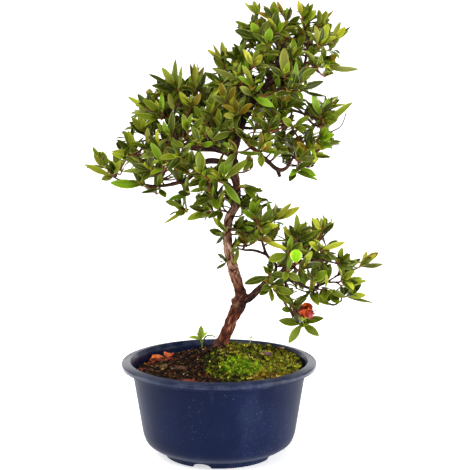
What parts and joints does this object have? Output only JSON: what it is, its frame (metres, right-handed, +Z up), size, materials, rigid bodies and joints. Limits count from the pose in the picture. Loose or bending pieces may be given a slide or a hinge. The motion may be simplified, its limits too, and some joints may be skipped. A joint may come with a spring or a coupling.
{
  "type": "satsuki azalea bonsai",
  "caption": "Small flowering azalea trained as a leaning bonsai with leafy sprays, rooted in mossy soil in a round blue plastic training pot.",
  "frame": {"origin": "on the surface the pot stands on, under the middle of the whole plant's box; the pot's middle is 15.2 mm towards -X", "axes": "+Z up, -Y towards the tree's front, +X to the right seen from the front"},
  "size_m": [0.2983, 0.2, 0.4655],
  "materials": {
    "navy_plastic": "semi-matte moulded navy blue",
    "dark_soil": "rough dark brown potting mix with gravel",
    "moss": "matt bright green moss",
    "bark": "flaking reddish brown bark",
    "leaf": "satin waxy green leaf",
    "lime_leaf": "pale lime green leaf",
    "spent_bloom": "dry crumpled orange-red petals",
    "seedling_green": "thin yellow-green leaf",
    "bark_litter": "dry dark red bark",
    "leaf_litter": "dry orange-brown leaf"
  },
  "bodies": {
    "root": {"bark_chip_front": "bark_litter", "bark_chip_middle": "bark_litter", "bark_stick": "bark_litter", "leaf_chip_back": "leaf_litter", "leaf_chip_left": "leaf_litter", "moss": "moss", "pot": "navy_plastic", "seedling": "seedling_green", "soil": "dark_soil", "spray_canopy_front": "leaf", "spray_canopy_left": "leaf", "spray_canopy_mid": "leaf", "spray_canopy_right": "leaf", "spray_canopy_right_tip": "leaf", "spray_canopy_top": "leaf", "spray_canopy_top_right": "leaf", "spray_centre_bright": "leaf", "spray_far_right": "leaf", "spray_fork_front": "leaf", "spray_front_rosette": "leaf", "spray_inner_buds": "leaf", "spray_inner_left": "leaf", "spray_left_back": "leaf", "spray_left_crown": "leaf", "spray_left_edge": "leaf", "spray_left_heart": "leaf", "spray_left_high": "leaf", "spray_left_low": "leaf", "spray_left_low_leaf": "leaf", "spray_left_peak": "leaf", "spray_left_shoulder": "leaf", "spray_left_tip": "leaf", "spray_left_young": "leaf", "spray_lime_leaf": "lime_leaf", "spray_low_left": "leaf", "spray_low_mid": "leaf", "spray_low_mid_right": "leaf", "spray_low_rosette": "leaf", "spray_mid_high": "leaf", "spray_olive_mass": "leaf", "spray_right_cluster": "leaf", "spray_right_high": "leaf", "spray_right_inner": "leaf", "spray_right_low": "leaf", "spray_right_lower": "leaf", "spray_right_lowest": "leaf", "spray_right_rosette": "leaf", "spray_spent_bloom": "spent_bloom", "spray_top_inner": "leaf", "spray_top_left_tip": "leaf", "spray_top_mid": "leaf", "spray_top_pale": "leaf", "spray_top_right": "leaf", "spray_top_right_tip": "leaf", "spray_trunk_front": "leaf", "spray_trunk_low": "leaf", "spray_trunk_side": "leaf", "spray_trunk_twig": "leaf", "spray_up_left": "leaf", "wood": "bark"}
  },
  "joints": []
}
